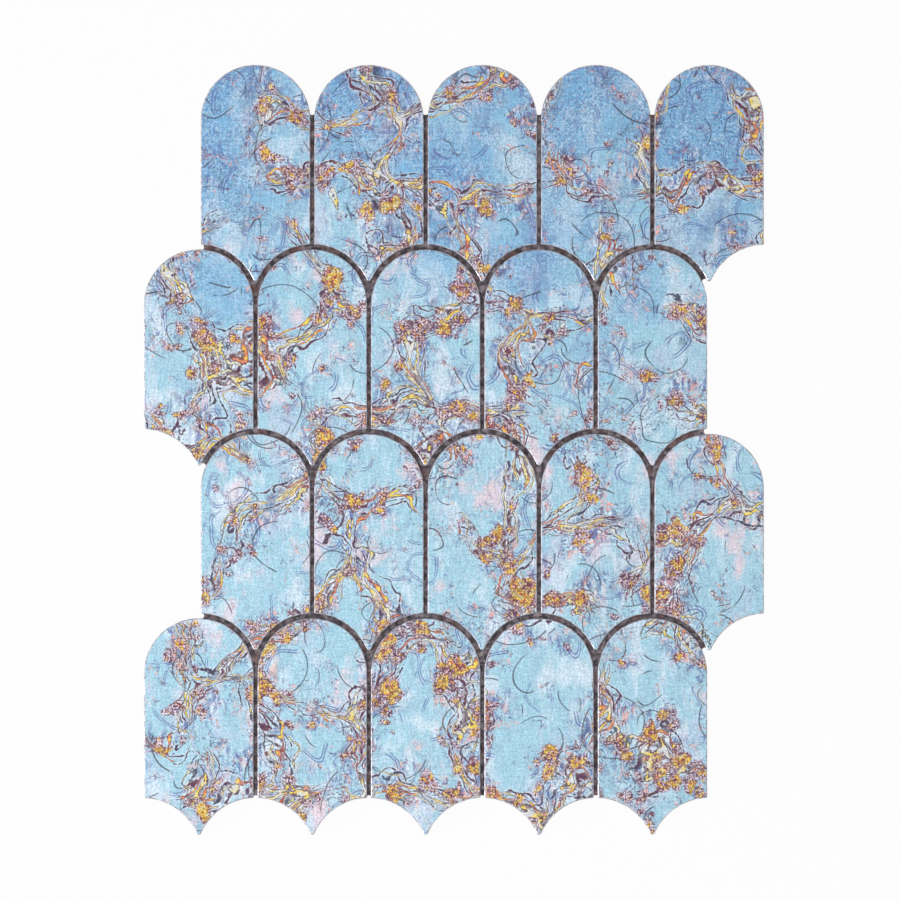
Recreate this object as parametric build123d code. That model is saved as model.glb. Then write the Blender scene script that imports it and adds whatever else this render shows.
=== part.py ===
"""Mosaic sheet of printed aluminium chips, laid in four staggered rows on one dark backing sheet.

Each chip has a round head, straight sides and a pointed tail whose two hollow flanks follow the heads of
the chips below it. The sheet lies on its back: +Z is the printed face, +Y points to the round heads. The
origin is the middle of the outline, at the underside of the backing. All sizes are in millimetres.
"""
from build123d import *

import os
from math import sqrt

# Layout of the sheet
rows = 4
columns = 5
row_pitch = 75.0
joint = 1.6
row_joint = 2.0

# One chip
chip_width = 44.5
chip_thickness = 3.0
tip_radius = 1.0
corner_radius = 0.45
edge_chamfer = 0.35

# The backing sheet under the chips
backing_thickness = 1.0
backing_inset = 0.3
notch_fill = 0.05

# Sizes that follow from those above
arch_radius = chip_width / 2
nest_radius = arch_radius + row_joint
column_pitch = chip_width + joint
stagger = column_pitch / 2
tip_centre_drop = row_pitch - sqrt((nest_radius + tip_radius) ** 2 - stagger**2)
tip_drop = tip_centre_drop + tip_radius
first_row_y = ((rows - 1) * row_pitch + tip_drop - arch_radius) / 2


def chip_centre(row, column):
    """Centre of a chip's round head, with row 0 at the top and column 0 on the left."""
    shift = stagger / 2 if row % 2 == 0 else -stagger / 2
    x = (column - (columns - 1) / 2) * column_pitch + shift
    return x, first_row_y - row * row_pitch


def chip_outline():
    """Outline of one chip about the centre of its round head."""
    head = Circle(arch_radius)
    body = Pos(0, -row_pitch / 2) * Rectangle(chip_width, row_pitch)
    outline = head + body
    for side in (-1, 1):
        outline -= Pos(side * stagger, -row_pitch) * Circle(nest_radius)
    tip = outline.vertices().sort_by(Axis.Y)[0]
    outline = fillet(tip, tip_radius)
    tail = [v for v in outline.vertices() if -row_pitch + arch_radius < v.Y < -arch_radius]
    return fillet([v for v in tail if abs(v.X) > chip_width / 2 - joint / 2], corner_radius)


def make_chip(outline):
    """One chip with its printed face up and the cut edge of that face chamfered."""
    chip = extrude(outline, chip_thickness)
    rim = chip.faces().sort_by(Axis.Z)[-1].edges()
    return chamfer(rim, edge_chamfer)


def redrawn(face):
    """The face with its outline drawn again from plain lines and arcs, which a STEP file keeps."""
    edges = []
    for edge in face.outer_wire().edges():
        if edge.geom_type == GeomType.LINE:
            edges.append(Edge.make_line(edge @ 0, edge @ 1))
        else:
            edges.append(Edge.make_three_point_arc(edge @ 0, edge @ 0.5, edge @ 1))
    return make_face(edges)


def make_backing(outline):
    """The one sheet under all the chips: it closes their joints and stops short of their outer edges."""
    closing = max(joint, row_joint) / 2 + notch_fill
    grown = offset(outline, closing)
    places = [chip_centre(row, column) for row in range(rows) for column in range(columns)]
    cells = [Pos(x, y) * grown for x, y in places]
    merged = cells[0].fuse(*cells[1:])
    filled = make_face(merged.face().outer_wire())
    shrunk = offset(filled, -(closing + backing_inset))
    return extrude(redrawn(shrunk.face()), backing_thickness)


def build():
    """All pieces by name, each in its place on the sheet."""
    outline = chip_outline()
    pieces = {"backing_sheet": make_backing(outline)}
    chip = make_chip(outline)
    for row in range(rows):
        for column in range(columns):
            x, y = chip_centre(row, column)
            pieces[f"chip_row{row + 1}_col{column + 1}"] = Pos(x, y, backing_thickness) * chip
    return pieces


os.makedirs("parts", exist_ok=True)
for name, piece in build().items():
    export_step(piece, f"parts/{name}.step")
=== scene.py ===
"""Looks of a mosaic sheet: twenty printed aluminium chips in staggered rows on one dark backing sheet.

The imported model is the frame. Each chip is made again with fine arcs and rounded arrises, in the place and
size that the frame gives, and the backing keeps its own solid. +Z is the printed face and +Y points to the
round heads. Sizes are in millimetres where a name doesn't say otherwise, and meshes are in metres.
"""

import logging
import math
from dataclasses import astuple, dataclass, fields
from enum import Enum
from typing import Any, Iterable, Mapping, Optional, Sequence, Union

import bpy
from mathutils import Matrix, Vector


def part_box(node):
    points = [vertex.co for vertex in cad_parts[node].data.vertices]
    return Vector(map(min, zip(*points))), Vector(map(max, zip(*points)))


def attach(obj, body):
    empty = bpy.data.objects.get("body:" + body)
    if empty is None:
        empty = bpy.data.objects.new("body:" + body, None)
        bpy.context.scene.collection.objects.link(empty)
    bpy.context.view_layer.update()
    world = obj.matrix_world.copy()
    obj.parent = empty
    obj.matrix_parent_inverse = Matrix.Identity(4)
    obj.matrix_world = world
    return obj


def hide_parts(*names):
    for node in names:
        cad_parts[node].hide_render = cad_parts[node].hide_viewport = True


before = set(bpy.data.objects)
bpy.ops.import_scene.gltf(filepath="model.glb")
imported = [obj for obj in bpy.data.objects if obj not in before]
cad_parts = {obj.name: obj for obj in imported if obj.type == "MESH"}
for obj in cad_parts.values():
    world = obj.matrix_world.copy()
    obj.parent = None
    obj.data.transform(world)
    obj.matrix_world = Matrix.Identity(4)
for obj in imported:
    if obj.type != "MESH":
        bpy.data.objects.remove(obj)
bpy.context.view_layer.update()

MM = 0.001
CLOUD_STRIDE = (613.7, 371.3)
CELL_STRIDE = (1371.0, 733.0)
WHITE = (1.0, 1.0, 1.0)

log = logging.getLogger("mosaic_sheet")

Number = Union["Wire", float]
Colour = tuple[float, float, float]


def linear(red: int, green: int, blue: int) -> Colour:
    """The linear colour of a screen colour.

    Args:
        red: its red, from 0 to 255.
        green: its green.
        blue: its blue.

    Returns:
        The three channels, from 0 to 1.
    """
    def one(step: int) -> float:
        """One channel by the sRGB curve."""
        share = step / 255
        return share / 12.92 if share <= 0.04045 else ((share + 0.055) / 1.055) ** 2.4

    return one(red), one(green), one(blue)


class Wire:
    """One output socket of a node, with arithmetic that adds Math nodes to its graph."""

    def __init__(self, graph: "Graph", socket: bpy.types.NodeSocket) -> None:
        """Keeps the socket and the graph that it belongs to."""
        self.graph = graph
        self.socket = socket

    def __add__(self, other: Number) -> "Wire":
        """self + other."""
        return self.graph.math("ADD", self, other)

    __radd__ = __add__

    def __sub__(self, other: Number) -> "Wire":
        """self - other."""
        return self.graph.math("SUBTRACT", self, other)

    def __rsub__(self, other: Number) -> "Wire":
        """other - self."""
        return self.graph.math("SUBTRACT", other, self)

    def __mul__(self, other: Number) -> "Wire":
        """self * other."""
        return self.graph.math("MULTIPLY", self, other)

    __rmul__ = __mul__

    def __truediv__(self, other: Number) -> "Wire":
        """self / other."""
        return self.graph.math("DIVIDE", self, other)

    def __rtruediv__(self, other: Number) -> "Wire":
        """other / self."""
        return self.graph.math("DIVIDE", other, self)

    def __neg__(self) -> "Wire":
        """The value with its sign turned."""
        return self.graph.math("MULTIPLY", self, -1.0)

    def __abs__(self) -> "Wire":
        """The value without its sign."""
        return self.graph.math("ABSOLUTE", self)

    def root(self) -> "Wire":
        """The square root."""
        return self.graph.math("SQRT", self)

    def rise(self, low: Number, high: Number) -> "Wire":
        """A soft step: 0 up to low, 1 from high on, and smooth between them."""
        values = {"Value": self, "From Min": low, "From Max": high}
        return self.graph.add("ShaderNodeMapRange", {"interpolation_type": "SMOOTHSTEP"}, values)["Result"]

    def fall(self, low: Number, high: Number) -> "Wire":
        """A soft step down: 1 up to low and 0 from high on."""
        return 1 - self.rise(low, high)


class Node:
    """One node that was added, whose outputs are read by name or number."""

    def __init__(self, graph: "Graph", node: bpy.types.Node) -> None:
        """Keeps the node and its graph."""
        self.graph = graph
        self.node = node

    def __getitem__(self, name: Union[str, int]) -> Wire:
        """The output of that name or number."""
        return Wire(self.graph, self.node.outputs[name])


class Graph:
    """A node tree of a material or a modifier, filled through a few short calls."""

    def __init__(self, tree: bpy.types.NodeTree) -> None:
        """Keeps the tree."""
        self.tree = tree

    def add(self, kind: str, settings: Optional[Mapping[str, Any]] = None,
            values: Optional[Mapping[Any, Any]] = None) -> Node:
        """Adds any node.

        Args:
            kind: the node's type name.
            settings: properties of the node, set before its sockets. "stops" fills a colour ramp.
            values: what each input gets, by the socket's name or number: a wire or a plain value.

        Returns:
            The node, whose outputs are read with square brackets.
        """
        node = self.tree.nodes.new(kind)
        for name, value in (settings or {}).items():
            if name == "stops":
                self.fill_ramp(node.color_ramp, value)
            else:
                setattr(node, name, value)
        for name, value in (values or {}).items():
            socket = node.inputs[name]
            if isinstance(value, Wire):
                self.tree.links.new(value.socket, socket)
            elif socket.type == "RGBA":
                socket.default_value = (*value, 1.0)
            else:
                socket.default_value = value
        return Node(self, node)

    @staticmethod
    def fill_ramp(ramp: bpy.types.ColorRamp, stops: Sequence[tuple[float, Colour]]) -> None:
        """Gives a colour ramp its stops.

        Args:
            ramp: the ramp.
            stops: pairs of place and colour, in rising order.
        """
        while len(ramp.elements) > 1:
            ramp.elements.remove(ramp.elements[-1])
        for index, (place, colour) in enumerate(stops):
            element = ramp.elements[0] if index == 0 else ramp.elements.new(place)
            element.position = place
            element.color = (*colour, 1.0)

    def math(self, operation: str, *values: Number) -> Wire:
        """Adds a Math node on one to three values."""
        return self.add("ShaderNodeMath", {"operation": operation}, dict(enumerate(values)))["Value"]

    def greater(self, first: Number, second: Number) -> Wire:
        """The greater of two values."""
        return self.math("MAXIMUM", first, second)

    def vector(self, operation: str, *values: Any, **more: Any) -> Wire:
        """Adds a Vector Math node. more takes the Scale of a SCALE node."""
        inputs = {**dict(enumerate(values)), **more}
        return self.add("ShaderNodeVectorMath", {"operation": operation}, inputs)["Vector"]

    def join(self, x: Number = 0.0, y: Number = 0.0, z: Number = 0.0) -> Wire:
        """A vector of three values."""
        return self.add("ShaderNodeCombineXYZ", {}, {0: x, 1: y, 2: z})[0]

    def axes(self, vector: Wire) -> Node:
        """The three values of a vector, as outputs 0 to 2."""
        return self.add("ShaderNodeSeparateXYZ", {}, {0: vector})

    def channels(self, colour: Wire) -> Node:
        """The three channels of a colour, as outputs 0 to 2."""
        return self.add("ShaderNodeSeparateColor", {}, {0: colour})

    def background_seen(self, ray: Node) -> Wire:
        """1 on rays that show the background: the camera's, and those in gloss and glass."""
        mirrored = self.greater(ray["Is Glossy Ray"], ray["Is Transmission Ray"])
        return self.greater(ray["Is Camera Ray"], mirrored)

    def blend(self, below: Any, above: Any, share: Number) -> Wire:
        """Lays one colour over another.

        Args:
            below: the colour underneath.
            above: the colour on top.
            share: how much of the top colour shows, from 0 to 1.

        Returns:
            The mixed colour.
        """
        settings = {"data_type": "RGBA", "clamp_factor": True}
        return self.add("ShaderNodeMix", settings, {0: share, 6: below, 7: above})[2]

    def bump(self, height: Wire, depth: float, strength: float) -> Wire:
        """The normal of a surface whose height changes by depth in millimetres."""
        values = {"Strength": strength, "Distance": depth * MM, "Height": height}
        return self.add("ShaderNodeBump", {}, values)["Normal"]

    def ramp(self, value: Number, stops: Sequence[tuple[float, Colour]]) -> Wire:
        """A colour picked from a ramp by a value of 0 to 1."""
        return self.add("ShaderNodeValToRGB", {"stops": stops}, {0: value})["Color"]


def emptied(owner: Union[bpy.types.Material, bpy.types.World]) -> Graph:
    """The graph of a material or a world, with no node left in it."""
    owner.use_nodes = True
    owner.node_tree.nodes.clear()
    return Graph(owner.node_tree)


def placed(name: str, data: Any) -> bpy.types.Object:
    """A new object in the scene."""
    thing = bpy.data.objects.new(name, data)
    bpy.context.scene.collection.objects.link(thing)
    return thing


class Map:
    """A flat map in millimetres that the patterns of a finish are drawn on."""

    def __init__(self, graph: Graph, place: Wire) -> None:
        """Keeps the graph and the wire with the place in millimetres."""
        self.graph = graph
        self.place = place

    def moved(self, shift: Any) -> "Map":
        """The same map pushed by a vector, given in millimetres or as a wire."""
        return Map(self.graph, self.graph.vector("ADD", self.place, shift))

    def reseeded(self, seed: float, stride: tuple[float, float]) -> "Map":
        """The same map moved far away, where a pattern looks different for every seed."""
        return self.moved((seed * stride[0], seed * stride[1], 0.0))

    def stretched(self, x: float, y: float) -> "Map":
        """The same map with its lengths across and along changed by two factors."""
        return Map(self.graph, self.graph.vector("MULTIPLY", self.place, (1 / x, 1 / y, 1.0)))

    def clouds(self, size: float, detail: float = 2.0, seed: float = 0.0, rough: float = 0.5) -> Node:
        """Noise whose lumps are about size wide.

        Args:
            size: width of the largest lumps.
            detail: how many finer octaves are added.
            seed: another seed gives another noise.
            rough: how strong the finer octaves are.

        Returns:
            The noise node, with a value from 0 to 1 at "Fac" and three at "Color".
        """
        here = self.reseeded(seed, CLOUD_STRIDE)
        values = {"Vector": here.place, "Scale": 1 / size, "Detail": detail, "Roughness": rough}
        return self.graph.add("ShaderNodeTexNoise", {"noise_dimensions": "2D"}, values)

    def cells(self, size: float, feature: str = "F1", seed: float = 0.0) -> Node:
        """Cells about size wide around scattered points.

        Args:
            size: width of a cell.
            feature: F1 for the distance to the point, DISTANCE_TO_EDGE for the one to the cell's edge.
            seed: another seed gives other cells.

        Returns:
            The node, whose distances are in units of size.
        """
        here = self.reseeded(seed, CELL_STRIDE)
        settings = {"voronoi_dimensions": "2D", "feature": feature}
        values = {"Vector": here.place, "Scale": 1 / size}
        return self.graph.add("ShaderNodeTexVoronoi", settings, values)

    def pushed(self, size: float, reach: float, seed: float) -> "Map":
        """The same map bent by noise, so that what is drawn on it wanders.

        Args:
            size: length over which the bending changes.
            reach: how far a place is pushed at most, about.
            seed: which noise bends it.

        Returns:
            The bent map.
        """
        noise = self.clouds(size, 1, seed)["Color"]
        centred = self.graph.vector("SUBTRACT", noise, (0.5, 0.5, 0.5))
        return self.moved(self.graph.vector("SCALE", centred, Scale=2 * reach))


class Ink(Enum):
    """The inks of the print, as linear colours."""

    SKY = linear(153, 194, 211)
    PALE = linear(190, 210, 224)
    CORNFLOWER = linear(110, 165, 204)
    INDIGO = linear(88, 104, 158)
    SLATE = linear(60, 74, 104)
    NAVY = linear(72, 98, 150)
    MIST = linear(226, 231, 236)
    BLUSH = linear(224, 196, 204)
    LILAC = linear(188, 188, 212)
    CREAM = linear(240, 228, 176)
    YELLOW = linear(255, 224, 96)
    GOLD = linear(248, 194, 74)
    ORANGE = linear(234, 138, 72)
    SALMON = linear(238, 160, 136)
    RUST = linear(186, 84, 60)
    MAROON = linear(110, 46, 56)
    PLUM = linear(84, 46, 80)
    SOOT = linear(44, 38, 50)


InkStops = tuple[tuple[float, Ink], ...]


@dataclass(frozen=True)
class Strand:
    """One kind of line that follows the course of the veins. Lengths are in millimetres.

    Attributes:
        seed: which noise the line is drawn from.
        offset: how far beside the course it runs.
        wander: how far it leaves that way.
        width: half its width where it is widest.
        inks: its inks, from its thin parts to its swollen ones.
        rim: the ink round it.
        rarity: a higher value leaves fewer stretches of it.
    """

    seed: int
    offset: float
    wander: float
    width: float
    inks: InkStops
    rim: Ink
    rarity: float


@dataclass(frozen=True)
class Ring:
    """One kind of hair-thin ring.

    Attributes:
        seed: which cells the rings stand in.
        spread: how far apart they stand, as a share of the common spacing.
        gap: half the distance of two lines beside each other in millimetres, or 0 for a single one.
        ink: the ink of the line.
    """

    seed: int
    spread: float
    gap: float
    ink: Ink


@dataclass(frozen=True)
class ClusterKind:
    """One size of cluster. Lengths are in millimetres.

    Attributes:
        spacing: how far apart the clusters stand.
        largest: the largest radius of one.
        seed: which cells they stand in.
    """

    spacing: float
    largest: float
    seed: int


STRAP_INKS = ((0.41, Ink.YELLOW), (0.53, Ink.CREAM), (0.66, Ink.MIST))
FLAME_INKS = ((0.36, Ink.RUST), (0.45, Ink.SALMON), (0.54, Ink.ORANGE), (0.64, Ink.YELLOW))
TWIG_INKS = ((0.40, Ink.SOOT), (0.60, Ink.PLUM))
SCRIBBLE_INKS = ((0.35, Ink.INDIGO), (0.52, Ink.PLUM), (0.70, Ink.SALMON))
BLOB_INKS = (
    (0.42, Ink.RUST),
    (0.46, Ink.SALMON),
    (0.50, Ink.ORANGE),
    (0.54, Ink.YELLOW),
    (0.60, Ink.GOLD),
    (0.66, Ink.YELLOW),
    (0.74, Ink.CREAM),
)

STRANDS = (
    Strand(101, 0.0, 6.0, 0.28, TWIG_INKS, Ink.SLATE, 0.44),
    Strand(102, 3.0, 9.0, 0.24, TWIG_INKS, Ink.PLUM, 0.42),
    Strand(108, 3.5, 6.0, 0.16, TWIG_INKS, Ink.SLATE, 0.45),
    Strand(103, 1.0, 5.0, 0.30, TWIG_INKS, Ink.MAROON, 0.48),
    Strand(104, 3.0, 7.0, 0.42, STRAP_INKS, Ink.SLATE, 0.51),
    Strand(105, 2.0, 6.0, 0.50, FLAME_INKS, Ink.MAROON, 0.53),
    Strand(106, 0.0, 4.0, 0.62, STRAP_INKS, Ink.PLUM, 0.50),
)
RINGS = (Ring(23, 0.8, 0.5, Ink.INDIGO), Ring(21, 1.0, 0.0, Ink.SOOT), Ring(22, 1.7, 0.0, Ink.SOOT))
CLUSTERS = (ClusterKind(13.0, 5.4, 6), ClusterKind(7.5, 2.8, 7))

METAL = ((0.3, linear(168, 168, 174)), (0.7, linear(218, 218, 224)))
# Darker metal of the arris: painted shade for the dark lines along the chips' edges.
ARRIS_PAINTED_SHADE = ((0.36, linear(140, 138, 148)), (0.5, linear(178, 178, 188)), (0.66, linear(206, 208, 218)))
FILM_MOTTLE = ((0.38, linear(72, 64, 68)), (0.5, linear(118, 108, 114)), (0.62, linear(188, 176, 182)))
FILM_BELOW = ((0.3, linear(96, 88, 94)), (0.7, linear(112, 104, 110)))
ADHESIVE = linear(150, 104, 96)


def stops_of(inks: InkStops) -> list[tuple[float, Colour]]:
    """The stops of a colour ramp from places and inks."""
    return [(place, ink.value) for place, ink in inks]


class Finish:
    """What every finish shares: a material with one Principled shader, filled by its paint method."""

    name = "finish"

    def material(self) -> bpy.types.Material:
        """Makes the material.

        Returns:
            The material with its shader.
        """
        material = bpy.data.materials.new(self.name)
        graph = emptied(material)
        place = graph.add("ShaderNodeTexCoord")["Object"]
        sheet = Map(graph, graph.vector("SCALE", place, Scale=1 / MM))
        shader = graph.add("ShaderNodeBsdfPrincipled", {}, self.paint(sheet))
        graph.add("ShaderNodeOutputMaterial", {}, {"Surface": shader["BSDF"]})
        return material

    def paint(self, sheet: Map) -> dict[str, Any]:
        """Draws the finish.

        Args:
            sheet: the flat map in millimetres.

        Returns:
            The values and wires of the shader's sockets, by name.
        """
        raise NotImplementedError


@dataclass(frozen=True)
class MarbledPrint(Finish):
    """The print on the chips' faces: calm marbled blues between winding bands of veins and clusters.

    It runs on from chip to chip, as one printed panel does that was cut into chips. All lengths are in
    millimetres on the sheet. A size that isn't in this list is the width of what it is named for.

    Attributes:
        half_height: half the height of the sheet.
        course_spacing: width of the cells whose edges the veins follow.
        band_reach: how far a busy band reaches from that course.
        tangle_size: width of the lumps that fray the bands.
        tide_size: width of the swells between the deep and the pale ground.
        ring_spacing: distance between rings.
        skirt: how far a cluster's lines reach past its edge.
        thread_pitch: distance between the brushed threads.
        thread_depth: height of those threads.
    """

    name = "printed_face"
    half_height: float = 156.5
    course_spacing: float = 47.0
    band_reach: float = 15.0
    tangle_size: float = 17.0
    calm_size: float = 40.0
    tide_size: float = 60.0
    drift_size: float = 15.0
    wash_size: float = 8.0
    tint_size: float = 19.0
    worm_size: float = 1.8
    dab_size: float = 1.6
    fire_size: float = 2.3
    sweep_size: float = 7.0
    scribble_size: float = 6.5
    ring_spacing: float = 27.0
    hairline_width: float = 0.3
    skirt: float = 0.9
    curl_size: float = 1.2
    blob_size: float = 2.4
    speckle_size: float = 0.8
    thread_pitch: float = 0.85
    thread_depth: float = 0.04

    def paint(self, sheet: Map) -> dict[str, Any]:
        """Prints the face and adds the relief of the brushed threads.

        Args:
            sheet: the flat map in millimetres.

        Returns:
            The sockets of the shader.
        """
        press = Press(self, sheet)
        press.ground()
        press.washes()
        press.worms()
        press.brushmarks()
        press.scribbles()
        for ring in RINGS:
            press.rings(ring)
        for strand in STRANDS:
            press.strand(strand)
        press.clusters()
        threads = press.grain()
        return {
            "Base Color": press.colour,
            "Metallic": 0.35 - press.cover * 0.25,
            "Roughness": 0.42 + press.cover * 0.12,
            "Normal": sheet.graph.bump(threads, self.thread_depth, 0.3),
        }


class Press:
    """Lays the layers of the print over each other, from the ground up.

    Attributes:
        colour: what shows so far.
        cover: how much of the metal thick ink hides, from 0 to 1.
        apart: distance from the course of the veins, in millimetres.
        lively: 1 where lines may run and 0 where the print is calm.
        busy: 1 in the middle of a band of veins and 0 outside it.
        depth: 1 where the ground is deep blue and 0 where it is pale.
    """

    def __init__(self, sizes: MarbledPrint, sheet: Map) -> None:
        """Works out where the print is busy, calm and deep, and starts with an even sky blue.

        Args:
            sizes: the sizes of the print.
            sheet: the flat map in millimetres.
        """
        self.sizes = sizes
        self.sheet = sheet
        self.graph = sheet.graph
        self.colour: Any = Ink.SKY.value
        self.cover: Number = 0.0
        course = sheet.pushed(42, 20, 71).pushed(11, 3.5, 72)
        edge = course.cells(sizes.course_spacing, "DISTANCE_TO_EDGE", seed=3)["Distance"]
        self.apart = edge * sizes.course_spacing
        tangle = sheet.clouds(sizes.tangle_size, 2, seed=1)["Fac"] - 0.5
        self.lively = sheet.stretched(1, 1.6).clouds(sizes.calm_size, 1, seed=5)["Fac"].rise(0.33, 0.45)
        band = (self.apart / sizes.band_reach + tangle * 3.2).fall(0.0, 1.0)
        self.busy = band * (self.lively * 0.6 + 0.4)
        height = self.graph.axes(sheet.place)[1] / (2 * sizes.half_height) + 0.5
        tide = sheet.clouds(sizes.tide_size, 2, seed=2)["Fac"] - 0.5
        self.depth = (height + tide * 0.8).rise(0.57, 0.98)

    def lay(self, ink: Union[Ink, Wire], share: Number) -> None:
        """Lays an ink, or a colour that changes over the face, over what is there."""
        above = ink.value if isinstance(ink, Ink) else ink
        self.colour = self.graph.blend(self.colour, above, share)

    def hide(self, share: Number) -> None:
        """Notes where thick ink hides the metal."""
        self.cover = self.graph.greater(self.cover, share)

    def ground(self) -> None:
        """Lays the blue ground, deeper at the top of the sheet and patched with pale and indigo."""
        sheet, sizes = self.sheet, self.sizes
        self.lay(Ink.CORNFLOWER, self.depth)
        drift = sheet.stretched(1, 1.8).pushed(10, 4, 3).clouds(sizes.drift_size, 4, seed=4, rough=0.55)
        patch = self.graph.channels(drift["Color"])
        self.lay(Ink.PALE, patch[0].rise(0.50, 0.66) * (1 - self.depth * 0.75))
        self.lay(Ink.INDIGO, patch[1].rise(0.53, 0.72) * (0.09 + self.depth * 0.50))

    def washes(self) -> None:
        """Lays thin washes of white, blush and lilac, thinner where the ground is deep."""
        sheet, sizes = self.sheet, self.sizes
        drawn = sheet.stretched(1, 3).pushed(5, 2, 7)
        white = drawn.clouds(sizes.wash_size, 5, seed=8, rough=0.65)["Fac"].rise(0.54, 0.74)
        self.lay(Ink.MIST, white * (0.2 + self.busy * 0.3 - self.depth * 0.2))
        tint = self.graph.channels(sheet.stretched(1, 1.5).clouds(sizes.tint_size, 5, 9, 0.62)["Color"])
        self.lay(Ink.BLUSH, tint[0].rise(0.57, 0.72) * (0.7 - self.depth * 0.7))
        self.lay(Ink.LILAC, tint[1].rise(0.57, 0.72) * (0.4 - self.depth * 0.3))

    def worms(self) -> None:
        """Draws close short curls that crowd where the ground is deep or the print is busy."""
        sheet, sizes = self.sheet, self.sizes
        near = self.graph.greater(self.depth * 0.9, self.busy * 0.8)
        lumps = sheet.clouds(14, 3, seed=31)["Fac"]
        crowd = (lumps + near * 0.24).rise(0.44, 0.70) * (0.08 + near * 0.92)
        for seed, ink, share in ((32, Ink.PALE, 0.5), (33, Ink.NAVY, 0.75)):
            field = sheet.clouds(sizes.worm_size, 1, seed=seed)["Fac"]
            self.lay(ink, abs(field - 0.5).fall(0.02, 0.08) * crowd * share)

    def brushmarks(self) -> None:
        """Draws short upright dabs of indigo, white and salmon, and a few long dark sweeps."""
        sheet, sizes = self.sheet, self.sizes
        upright = sheet.pushed(8, 2.5, 11).stretched(1, 3.0)
        dabs = self.graph.channels(upright.clouds(sizes.dab_size, 2, seed=12, rough=0.6)["Color"])
        near = sheet.clouds(12, 2, seed=13)["Fac"].rise(0.40, 0.58) * (self.busy * 0.88 + 0.12)
        self.lay(Ink.INDIGO, dabs[0].rise(0.49, 0.57) * near * 0.9)
        self.lay(Ink.MIST, dabs[1].rise(0.53, 0.61) * near * 0.55)
        fire = upright.clouds(sizes.fire_size, 2, seed=14.5, rough=0.55)["Fac"]
        spark = sheet.clouds(11, 1, seed=14.7)["Fac"].rise(0.60, 0.72) * self.busy
        self.lay(Ink.SALMON, fire.rise(0.46, 0.62) * spark * (0.6 - self.depth * 0.4))
        swept = sheet.pushed(18, 8, 14).stretched(1, 2.2)
        sweep = swept.clouds(sizes.sweep_size, 4, seed=15, rough=0.62)["Fac"]
        self.lay(Ink.SLATE, sweep.rise(0.57, 0.66) * self.busy * (0.45 + self.depth * 0.6))

    def scribbles(self) -> None:
        """Draws thin close lines that curl through the busy bands like the rings of a burr."""
        sheet, sizes = self.sheet, self.sizes
        field = sheet.pushed(5, 1.2, 16).clouds(sizes.scribble_size, 2, seed=17)["Fac"]
        turn = self.graph.math("FRACT", field * 8.0)
        line = abs(turn - 0.5).fall(0.08, 0.22)
        patch = (sheet.clouds(8, 2, seed=18)["Fac"] + self.busy * 0.22).rise(0.60, 0.70)
        tone = sheet.clouds(5, 1, seed=19)["Fac"]
        self.lay(self.graph.ramp(tone, stops_of(SCRIBBLE_INKS)), line * patch * 0.7)

    def rings(self, ring: Ring) -> None:
        """Draws one kind of hair-thin ring, of which parts show."""
        sheet, sizes = self.sheet, self.sizes
        spacing = sizes.ring_spacing * ring.spread
        cell = sheet.pushed(22 * ring.spread, 5, ring.seed + 2).cells(spacing, "F1", seed=ring.seed)
        chance = self.graph.channels(cell["Color"])
        off = abs(cell["Distance"] * spacing - (chance[0] * spacing * 0.42 + 3))
        line = abs(off - ring.gap).fall(0.08, 0.08 + sizes.hairline_width)
        lane = (sheet.clouds(16, 1, seed=ring.seed + 4)["Fac"] + self.busy * 0.17).rise(0.50, 0.58)
        self.lay(ring.ink, line * lane * 0.85)

    def strand(self, strand: Strand) -> None:
        """Draws one kind of line along the course of the veins: a pale halo, a rim and a core.

        Args:
            strand: what the line is like.
        """
        sheet = self.sheet
        sway = (sheet.clouds(15, 1, seed=strand.seed)["Fac"] - 0.5) * strand.wander * 2
        chance = sheet.clouds(17, 0, seed=strand.seed + 0.3)["Fac"]
        lane = chance.rise(strand.rarity - 0.08, strand.rarity + 0.02) * self.lively
        swell = sheet.clouds(5, 1, seed=strand.seed + 0.6)["Fac"]
        reach = strand.width * (swell.rise(0.2, 0.8) + 0.25)
        # How far a place lies inside the line, in millimetres. It is below 0 outside.
        inside = (reach + 0.3) * lane - 0.3 - abs(self.apart + sway - strand.offset)
        ragged = inside + (sheet.clouds(1.1, 0, seed=strand.seed + 0.8)["Fac"] - 0.5) * 0.7
        rim = ragged.rise(-0.36, -0.12)
        self.lay(Ink.MIST, ragged.rise(-1.2, -0.4) * lane * 0.3)
        self.lay(strand.rim, rim * 0.92)
        self.lay(self.graph.ramp(swell, stops_of(strand.inks)), ragged.rise(-0.05, 0.15))
        self.hide(rim)

    def clusters(self) -> None:
        """Draws ragged clusters: curled plum lines that reach past warm blobs on a pale patch."""
        sheet, sizes = self.sheet, self.sizes
        bent = sheet.pushed(9, 3.6, 51).pushed(2.4, 0.9, 52)
        fine = sheet.clouds(sizes.curl_size, 2, seed=53, rough=0.6)["Fac"] - 0.5
        blobs = sheet.clouds(sizes.blob_size, 1, seed=54)["Fac"]
        curls = abs(sheet.clouds(sizes.curl_size, 1, seed=55)["Fac"] - 0.5)
        room = self.busy * (1.04 - self.depth * 0.42)
        for kind in CLUSTERS:
            spot = bent.cells(kind.spacing, "F1", seed=kind.seed)
            chance = self.graph.channels(spot["Color"])
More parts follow.
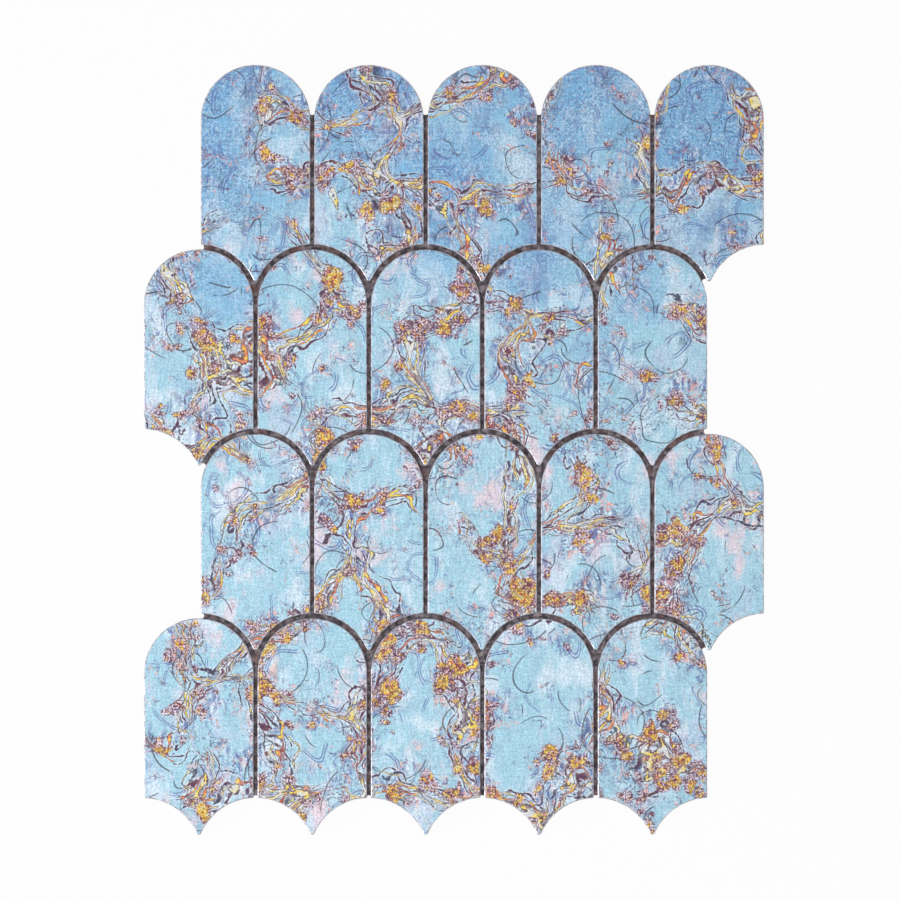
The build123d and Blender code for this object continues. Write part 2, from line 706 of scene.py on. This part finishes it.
            # A cluster shrinks to nothing outside the bands, and its lines end before that.
            radius = chance[0].rise(0.15, 0.95) * room * (kind.largest + sizes.skirt) - sizes.skirt
            inside = radius - spot["Distance"] * kind.spacing + fine * 3.0
            present = radius.rise(0.0, 0.6)
            self.lay(Ink.BLUSH, inside.rise(-1.6, 0.0) * present * 0.6)
            tone = blobs + (chance[1] * 0.26 - 0.17)
            warm = (tone + inside * 0.05).rise(0.47, 0.52) * inside.rise(0.1, 0.5)
            self.lay(self.graph.ramp(tone + 0.04, stops_of(BLOB_INKS)), warm)
            lace = self.graph.blend(Ink.PLUM.value, Ink.MAROON.value, chance[1])
            drawn = curls.fall(0.03, 0.09 + chance[2] * 0.09) * inside.rise(-1.7, -0.5) * present
            self.lay(lace, drawn * (1 - warm * chance[1] * 0.3))
            self.hide(self.graph.greater(warm, drawn))

    def grain(self) -> Wire:
        """Adds the fine speckle of the print and the crossed threads of the brushed metal under it.

        Returns:
            The height of the threads, for the relief.
        """
        sheet, sizes = self.sheet, self.sizes
        speckle = sheet.clouds(sizes.speckle_size, 1, seed=61)
        tinted = self.graph.vector("MULTIPLY_ADD", speckle["Color"], (0.34, 0.28, 0.24), (0.85, 0.88, 0.90))
        along = sheet.stretched(1, 7).clouds(sizes.thread_pitch, 1, seed=62)["Fac"] - 0.5
        across = sheet.stretched(7, 1).clouds(sizes.thread_pitch, 1, seed=63)["Fac"] - 0.5
        threads = along + across
        light = 1.0 + (speckle["Fac"] - 0.5) * 0.62 + threads * 0.3
        self.colour = self.graph.vector("MULTIPLY", self.colour, tinted)
        self.colour = self.graph.vector("MULTIPLY", self.colour, self.graph.join(light, light, light))
        return threads


@dataclass(frozen=True)
class CutAluminium(Finish):
    """Bare aluminium of the cut sides, with fine cutter lines, and the arris round the print darkened with
    painted shade.

    Attributes:
        line_pitch: distance between the cutter lines, in millimetres.
        line_depth: their depth in millimetres.
        arris_height: where the arris starts, in millimetres above the underside of the sheet.
    """

    name = "cut_aluminium"
    line_pitch: float = 0.22
    line_depth: float = 0.03
    arris_height: float = 3.6

    def paint(self, sheet: Map) -> dict[str, Any]:
        """Draws bright metal with thin lines that run around the edge, darker at the arris as painted shade.

        Args:
            sheet: the flat map in millimetres.

        Returns:
            The sockets of the shader.
        """
        graph = sheet.graph
        flattened = Map(graph, graph.vector("MULTIPLY", sheet.place, (0.05, 0.05, 1.0)))
        lines = flattened.clouds(self.line_pitch, 2, 51)["Fac"]
        tarnish = sheet.clouds(5, 3, 52)["Fac"]
        metal = graph.ramp(tarnish * 0.7 + lines * 0.3, METAL)
        # The arris gets a darker metal colour: painted shade along the edges.
        arris_painted_shade = graph.ramp(sheet.clouds(2.2, 3, 53, 0.6)["Fac"], ARRIS_PAINTED_SHADE)
        arris = graph.axes(sheet.place)[2].rise(self.arris_height - 0.05, self.arris_height + 0.05)
        return {
            "Base Color": graph.blend(metal, arris_painted_shade, arris),
            "Metallic": 0.9 - arris * 0.2,
            "Roughness": 0.3 + tarnish * 0.2,
            "Normal": graph.bump(lines, self.line_depth, 0.3),
        }


@dataclass(frozen=True)
class BackingFilm(Finish):
    """Matt mauve-grey adhesive sheet with a fine embossed weave, smeared with adhesive in the joints.

    Attributes:
        weave_pitch: distance between two threads of the weave, in millimetres.
        weave_depth: its depth in millimetres.
        smear_height: the smeared upper side starts here, in millimetres above the plain underside.
    """

    name = "backing_film"
    weave_pitch: float = 0.9
    weave_depth: float = 0.06
    smear_height: float = 0.95

    def paint(self, sheet: Map) -> dict[str, Any]:
        """Draws a mauve-grey film with a small weave, mottled on its upper side.

        Args:
            sheet: the flat map in millimetres.

        Returns:
            The sockets of the shader.
        """
        graph = sheet.graph
        axes = graph.axes(sheet.place)
        turn = 2 * math.pi / self.weave_pitch
        warp = graph.math("SINE", axes[0] * turn)
        weft = graph.math("SINE", axes[1] * turn)
        weave = warp * weft * 0.5 + 0.5
        mottle = sheet.clouds(2.6, 4, 61, 0.58)["Fac"]
        tint = sheet.clouds(6.0, 2, 62)["Fac"]
        film = graph.ramp(mottle * 0.85 + weave * 0.15, FILM_MOTTLE)
        smeared = graph.blend(film, ADHESIVE, tint.rise(0.52, 0.66) * 0.5)
        plain = graph.ramp(weave * 0.4 + tint * 0.6, FILM_BELOW)
        upper = axes[2].rise(self.smear_height - 0.05, self.smear_height)
        return {
            "Base Color": graph.blend(plain, smeared, upper),
            "Roughness": 0.62 + mottle * 0.2,
            "Normal": graph.bump(weave + mottle * 0.5, self.weave_depth, 0.4),
        }


@dataclass(frozen=True)
class ChipSizes:
    """The measures of one chip, in metres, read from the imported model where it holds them."""

    head_radius: float
    joint: float
    row_pitch: float
    seat: float
    thickness: float
    row_joint: float = 2.0 * MM
    tip_radius: float = 1.0 * MM
    corner_radius: float = 0.45 * MM
    bevel: float = 0.35 * MM
    arris_radius: float = 0.12 * MM

    @classmethod
    def from_frame(cls) -> "ChipSizes":
        """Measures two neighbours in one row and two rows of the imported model.

        Returns:
            The measures.
        """
        low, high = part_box("chip_row1_col1")
        next_low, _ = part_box("chip_row1_col2")
        _, below_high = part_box("chip_row2_col1")
        return cls(
            head_radius=(high.x - low.x) / 2,
            joint=next_low.x - high.x,
            row_pitch=high.y - below_high.y,
            seat=low.z,
            thickness=high.z - low.z,
        )

    @classmethod
    def names(cls) -> list[str]:
        """The names of the measures as the tree's inputs show them, such as Head Radius."""
        return [field.name.replace("_", " ").title() for field in fields(cls)]

    def by_name(self) -> dict[str, float]:
        """The measures by those names."""
        return dict(zip(self.names(), astuple(self)))


class ChipTree:
    """The Geometry Nodes tree that makes one chip: outline from arcs, rolled edge, face and underside.

    Attributes:
        arc_points: points on a quarter of the head's circle, and on a flank.
        corner_points: points on the arc of a corner or of half the tip.
        arris_segments: steps that the arris is rolled in.
        face_inset: how far the face's rim lies inside the arris, as a share of the arris's radius.
        weld: points nearer than this become one, in metres.
        upright: a face whose normal points up by at least this much is the printed one.
    """

    arc_points = 72
    corner_points = 9
    arris_segments = 4
    face_inset = 0.6
    weld = 1e-6
    upright = 0.9999

    def __init__(self, face: bpy.types.Material, edge: bpy.types.Material) -> None:
        """Builds the tree once.

        Args:
            face: finish of the printed face.
            edge: finish of the bevel, the sides and the underside.
        """
        self.tree = bpy.data.node_groups.new("chip_from_sizes", "GeometryNodeTree")
        self.graph = Graph(self.tree)
        self.face = face
        self.edge = edge
        self.tree.interface.new_socket("Geometry", in_out="INPUT", socket_type="NodeSocketGeometry")
        for name in (*ChipSizes.names(), "Centre X", "Centre Y"):
            self.tree.interface.new_socket(name, in_out="INPUT", socket_type="NodeSocketFloat")
        self.tree.interface.new_socket("Geometry", in_out="OUTPUT", socket_type="NodeSocketGeometry")
        self.source = self.graph.add("NodeGroupInput")
        solid = self.solid(self.outline(), self.profile())
        self.graph.add("NodeGroupOutput", {}, {0: solid})

    def identifier(self, name: str) -> str:
        """The identifier of a named input, which a modifier is set by.

        Args:
            name: the input's name.

        Returns:
            Its identifier.
        """
        for item in self.tree.interface.items_tree:
            if item.name == name and item.in_out == "INPUT":
                return item.identifier
        raise KeyError(name)

    def arc(self, x: Number, y: Number, radius: Number, start: Number, sweep: Number, points: int) -> Wire:
        """One arc of the outline, as loose edges.

        Args:
            x: where its centre is, across.
            y: where its centre is, along.
            radius: its radius.
            start: angle where it starts, in radians.
            sweep: angle it turns through.
            points: how many points it has.

        Returns:
            A mesh of edges.
        """
        values = {"Resolution": points, "Radius": radius, "Start Angle": start, "Sweep Angle": sweep}
        arc = self.graph.add("GeometryNodeCurveArc", {"mode": "RADIUS"}, values)["Curve"]
        return self.edges(self.transformed(arc, Translation=self.graph.join(x, y)))

    def outline(self) -> Wire:
        """Draws the outline of a chip from its arcs and sides.

        Returns:
            A closed curve about the centre of the head.
        """
        graph = self.graph
        size = self.source
        head = size["Head Radius"]
        nest = head + size["Row Joint"]
        side = head + size["Joint"] * 0.5
        pitch = size["Row Pitch"]
        tip = size["Tip Radius"]
        corner = size["Corner Radius"]

        reach = nest + tip
        tip_y = (reach * reach - side * side).root() - pitch
        corner_x = head - corner
        reach = nest + corner
        across = side - corner_x
        corner_y = (reach * reach - across * across).root() - pitch

        quarter = math.pi / 2
        down = graph.math("ARCTAN2", -pitch - corner_y, across)
        flank_start = down + math.pi
        tip_turn = graph.math("ARCTAN2", -pitch - tip_y, side)
        flank_end = tip_turn + math.pi
        fine, coarse = self.arc_points, self.corner_points
        half = self.joined([
            self.arc(0.0, 0.0, head, 0.0, quarter, fine),
            self.arc(corner_x, corner_y, corner, down, -down, coarse),
            self.arc(side, -pitch, nest, flank_start, flank_end - flank_start, fine),
            self.arc(0.0, tip_y, tip, -quarter, tip_turn + quarter, coarse),
            self.line(graph.join(head, 0.0), graph.join(head, corner_y)),
        ])
        whole = self.merged(self.joined([half, self.transformed(half, Scale=(-1.0, 1.0, 1.0))]))
        curve = self.traced(whole)
        return graph.add("GeometryNodeSetCurveNormal", {"mode": "Z_UP"}, {"Curve": curve})["Curve"]

    def line(self, start: Wire, end: Wire) -> Wire:
        """A straight edge of the outline."""
        ends = {"Start": start, "End": end}
        return self.edges(self.graph.add("GeometryNodeCurvePrimitiveLine", {}, ends)["Curve"])

    def edges(self, curve: Wire) -> Wire:
        """A curve as loose edges."""
        return self.graph.add("GeometryNodeCurveToMesh", {}, {"Curve": curve})["Mesh"]

    def traced(self, mesh: Wire) -> Wire:
        """Loose edges as one curve."""
        return self.graph.add("GeometryNodeMeshToCurve", {}, {"Mesh": mesh})["Curve"]

    def transformed(self, geometry: Wire, **change: Any) -> Wire:
        """A geometry moved or scaled, by the Translation or Scale that is given."""
        return self.graph.add("GeometryNodeTransform", {}, {"Geometry": geometry, **change})["Geometry"]

    def shaded(self, geometry: Wire, smooth: bool) -> Wire:
        """A geometry shaded smooth or flat."""
        values = {"Geometry": geometry, "Shade Smooth": smooth}
        return self.graph.add("GeometryNodeSetShadeSmooth", {}, values)["Geometry"]

    def dressed(self, geometry: Wire, material: bpy.types.Material, **only: Wire) -> Wire:
        """A geometry with a finish on all its faces, or on those that a Selection picks."""
        values = {"Geometry": geometry, "Material": material, **only}
        return self.graph.add("GeometryNodeSetMaterial", {}, values)["Geometry"]

    def joined(self, parts: Iterable[Wire]) -> Wire:
        """Joins geometries.

        Args:
            parts: the geometries.

        Returns:
            All of them as one.
        """
        node = self.graph.tree.nodes.new("GeometryNodeJoinGeometry")
        for part in parts:
            self.graph.tree.links.new(part.socket, node.inputs[0])
        return Node(self.graph, node)["Geometry"]

    def merged(self, mesh: Wire) -> Wire:
        """A mesh whose parts are joined where their points meet."""
        values = {"Geometry": mesh, "Distance": self.weld}
        return self.graph.add("GeometryNodeMergeByDistance", {}, values)["Geometry"]

    def profile(self) -> Wire:
        """Draws the section of the rim, from the underside up: straight side, bevel and rolled arris.

        Returns:
            An open curve.
        """
        graph = self.graph
        size = self.source
        top = size["Thickness"]
        bevel = size["Bevel"]
        corners = [
            graph.join(0.0, 0.0),
            graph.join(0.0, bevel - top),
            graph.join(-bevel, -top),
            graph.join(-bevel - size["Arris Radius"] * self.face_inset, -top),
        ]
        lines = [self.line(start, end) for start, end in zip(corners, corners[1:])]
        chain = self.traced(self.merged(self.joined(lines)))
        values = {"Curve": chain, "Count": self.arris_segments, "Radius": size["Arris Radius"]}
        return graph.add("GeometryNodeFilletCurve", {"mode": "POLY"}, values)["Curve"]

    def cap(self, rim: Wire, above: bool) -> Wire:
        """Closes one open side of the rim with a single flat face.

        Args:
            rim: the swept rim.
            above: True for the upper opening and False for the lower one.

        Returns:
            The face, in its place.
        """
        graph = self.graph
        top = self.source["Thickness"]
        faces = graph.add("GeometryNodeInputMeshEdgeNeighbors")["Face Count"]
        equal = {"data_type": "INT", "operation": "EQUAL"}
        open_edge = graph.add("FunctionNodeCompare", equal, {2: faces, 3: 1})["Result"]
        z = graph.axes(graph.add("GeometryNodeInputPosition")[0])[2]
        side = graph.math("GREATER_THAN" if above else "LESS_THAN", z, top * 0.5)
        chosen = graph.add("FunctionNodeBooleanMath", {"operation": "AND"}, {0: open_edge, 1: side})[0]
        loop = graph.add("GeometryNodeMeshToCurve", {}, {"Mesh": rim, "Selection": chosen})["Curve"]
        face = graph.add("GeometryNodeFillCurve", {"mode": "NGONS"}, {"Curve": loop})["Mesh"]
        if not above:
            return graph.add("GeometryNodeFlipFaces", {}, {"Mesh": face})["Mesh"]
        return self.transformed(face, Translation=graph.join(0.0, 0.0, top))

    def solid(self, outline: Wire, profile: Wire) -> Wire:
        """Sweeps the rim around the outline, closes both sides and gives each face its finish.

        Args:
            outline: the outline of the chip.
            profile: the section of its rim.

        Returns:
            The chip in its place.
        """
        graph = self.graph
        size = self.source
        rim = graph.add("GeometryNodeCurveToMesh", {}, {"Curve": outline, "Profile Curve": profile})["Mesh"]
        rim = self.shaded(rim, True)
        flat = self.shaded(self.joined(self.cap(rim, above) for above in (True, False)), False)
        place = graph.join(size["Centre X"], size["Centre Y"], size["Seat"])
        whole = self.transformed(self.merged(self.joined([rim, flat])), Translation=place)
        whole = graph.add("GeometryNodeRealizeInstances", {}, {"Geometry": whole})["Geometry"]
        normal = graph.axes(graph.add("GeometryNodeInputNormal")[0])
        printed = graph.math("GREATER_THAN", normal[2], self.upright)
        return self.dressed(self.dressed(whole, self.edge), self.face, Selection=printed)


def mesh_of(tree: ChipTree, values: Mapping[str, float], name: str) -> bpy.types.Mesh:
    """Runs a tree once and gives its result as a plain mesh.

    Args:
        tree: the tree to run.
        values: its inputs, by name.
        name: name of the mesh.

    Returns:
        The mesh, with no modifier behind it.
    """
    carrier = placed(name, bpy.data.meshes.new(name))
    modifier = carrier.modifiers.new("shape", "NODES")
    modifier.node_group = tree.tree
    for key, value in values.items():
        modifier[tree.identifier(key)] = value
    bpy.context.view_layer.update()
    evaluated = carrier.evaluated_get(bpy.context.evaluated_depsgraph_get())
    mesh = bpy.data.meshes.new_from_object(evaluated)
    bpy.data.objects.remove(carrier)
    for index in reversed([place for place, material in enumerate(mesh.materials) if material is None]):
        mesh.materials.pop(index=index)
    return mesh


@dataclass(frozen=True)
class Chip:
    """One chip of the sheet."""

    row: int
    column: int

    @property
    def node(self) -> str:
        """Name of the chip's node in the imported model."""
        return f"chip_row{self.row}_col{self.column}"

    def build(self, tree: ChipTree, sizes: ChipSizes) -> bpy.types.Object:
        """Makes the chip where its node is and lets it stand for that node.

        Args:
            tree: the tree that makes a chip.
            sizes: the measures that all chips share.

        Returns:
            The finished piece.
        """
        low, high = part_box(self.node)
        values = {
            **sizes.by_name(),
            "Centre X": (low.x + high.x) / 2,
            "Centre Y": high.y - sizes.head_radius,
        }
        piece = placed("dressed_" + self.node, mesh_of(tree, values, self.node))
        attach(piece, "root")
        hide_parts(self.node)
        return piece


@dataclass(frozen=True)
class MosaicSheet:
    """The whole sheet: its chips in rows, and the backing under them."""

    rows: int = 4
    columns: int = 5

    def build(self) -> None:
        """Dresses the backing and makes every chip."""
        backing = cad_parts["backing_sheet"]
        backing.data.materials.clear()
        backing.data.materials.append(BackingFilm().material())
        log.info("backing_sheet dressed")
        sizes = ChipSizes.from_frame()
        tree = ChipTree(MarbledPrint().material(), CutAluminium().material())
        for row in range(1, self.rows + 1):
            for column in range(1, self.columns + 1):
                piece = Chip(row, column).build(tree, sizes)
                log.info("%s: %d faces", piece.name, len(piece.data.polygons))


@dataclass(frozen=True)
class PaleFloor(Finish):
    """White studio paper, which shows white to the camera and keeps the sheet's shadow.

    It is clear from below and where the sheet touches it, so that the underside can be looked at.

    Attributes:
        paper: colour of the paper.
        glow_share: how much of the paper shows as even white where it is seen.
        contact: the longest way of light from the sheet to the paper that counts as a touch, in metres.
    """

    name = "pale_floor"
    paper: Colour = linear(240, 240, 240)
    glow_share: float = 0.95
    contact: float = 0.4 * MM

    def material(self) -> bpy.types.Material:
        """Makes the paper: a diffuse white, lifted by a white glow for the camera and in gloss.

        Returns:
            The material.
        """
        material = bpy.data.materials.new(self.name)
        graph = emptied(material)
        ray = graph.add("ShaderNodeLightPath")
        seen = graph.background_seen(ray) * self.glow_share
        paper = graph.add("ShaderNodeBsdfDiffuse", {}, {"Color": self.paper})["BSDF"]
        glow = graph.add("ShaderNodeEmission", {}, {"Color": WHITE, "Strength": 1.0})["Emission"]
        mix = graph.add("ShaderNodeMixShader", {}, {0: seen, 1: paper, 2: glow})["Shader"]
        below = graph.add("ShaderNodeNewGeometry")["Backfacing"]
        touching = graph.math("LESS_THAN", ray["Ray Length"], self.contact) * ray["Is Diffuse Ray"]
        hidden = graph.greater(below, touching)
        clear = graph.add("ShaderNodeBsdfTransparent")["BSDF"]
        sided = graph.add("ShaderNodeMixShader", {}, {0: hidden, 1: mix, 2: clear})["Shader"]
        graph.add("ShaderNodeOutputMaterial", {}, {"Surface": sided})
        return material


@dataclass(frozen=True)
class Lamp:
    """A square lamp that faces the middle of the sheet: place and side in metres, power in watts."""

    name: str
    place: tuple[float, float, float]
    side: float
    power: float

    def build(self) -> None:
        """Hangs the lamp in its place."""
        light = bpy.data.lights.new(self.name, "AREA")
        light.shape = "SQUARE"
        light.size = self.side
        light.energy = self.power
        lamp = placed(self.name, light)
        lamp.location = self.place
        lamp.rotation_euler = (-Vector(self.place)).to_track_quat("-Z", "Y").to_euler()


@dataclass(frozen=True)
class Studio:
    """Floor, lamps, room and camera. Lengths are in metres where a name doesn't say otherwise.

    Attributes:
        floor_gap: how far the floor lies under the sheet, so that no two surfaces share a plane.
        lamps: a broad soft light from above and a key from the lower left.
        room_light: strength of the room's white light on the sheet.
        sheet_centre_px: where the middle of the sheet is in it, from its upper left corner.
        row_pitch_px: how far apart two rows are in it.
        camera_height: height of the camera above the printed faces.
        camera_reach: how far the camera sees.
    """

    floor_side: float = 6.0
    floor_gap: float = 0.05 * MM
    lamps: tuple[Lamp, ...] = (
        Lamp("soft_top", (-0.3, -0.17, 1.75), 1.1, 7.6),
        Lamp("key_left", (-1.7, -0.6, 0.4), 0.5, 23.0),
    )
    room_light: float = 0.45
    picture_side_px: float = 900.0
    sheet_centre_px: tuple[float, float] = (454.0, 449.8)
    row_pitch_px: float = 184.5
    camera_height: float = 3.0
    camera_reach: float = 50.0
    sensor_mm: float = 36.0

    def build(self, sizes: ChipSizes) -> None:
        """Sets up everything around the sheet.

        Args:
            sizes: the measures of a chip, which set the scale of the picture.
        """
        self.floor()
        for lamp in self.lamps:
            lamp.build()
        self.room()
        self.camera(sizes)

    def floor(self) -> None:
        """Lays out the paper that the sheet lies on."""
        half = self.floor_side / 2
        corners = [(x * half, y * half, -self.floor_gap) for x, y in ((-1, -1), (1, -1), (1, 1), (-1, 1))]
        mesh = bpy.data.meshes.new("studio_floor")
        mesh.from_pydata(corners, [], [(0, 1, 2, 3)])
        mesh.materials.append(PaleFloor().material())
        placed("studio_floor", mesh)

    def room(self) -> None:
        """Fills the room with soft white light, which shows full white to the camera and in gloss."""
        world = bpy.data.worlds.new("white_room")
        bpy.context.scene.world = world
        graph = emptied(world)
        seen = graph.background_seen(graph.add("ShaderNodeLightPath"))
        strength = self.room_light + seen * (1 - self.room_light)
        glow = graph.add("ShaderNodeBackground", {}, {"Color": WHITE, "Strength": strength})
        graph.add("ShaderNodeOutputWorld", {}, {"Surface": glow["Background"]})

    def camera(self, sizes: ChipSizes) -> None:
        """Sets a long lens straight above, so that the sheet stands in the picture as in the photograph.

        Args:
            sizes: the measures of a chip.
        """
        metres_per_px = sizes.row_pitch / self.row_pitch_px
        middle = self.picture_side_px / 2
        right, down = (place - middle for place in self.sheet_centre_px)
        height = self.camera_height + sizes.seat + sizes.thickness
        camera = bpy.data.cameras.new("camera")
        camera.sensor_width = self.sensor_mm
        camera.lens = self.sensor_mm * self.camera_height / (metres_per_px * self.picture_side_px)
        camera.clip_end = self.camera_reach
        stand = placed("camera", camera)
        stand.location = (-right * metres_per_px, down * metres_per_px, height)
        bpy.context.scene.camera = stand
        bpy.context.scene.view_settings.view_transform = "Standard"


def main() -> None:
    """Builds the sheet and the studio around it."""
    logging.basicConfig(level=logging.INFO, format="%(name)s: %(message)s")
    MosaicSheet().build()
    Studio().build(ChipSizes.from_frame())


if __name__ == "__main__":
    main()
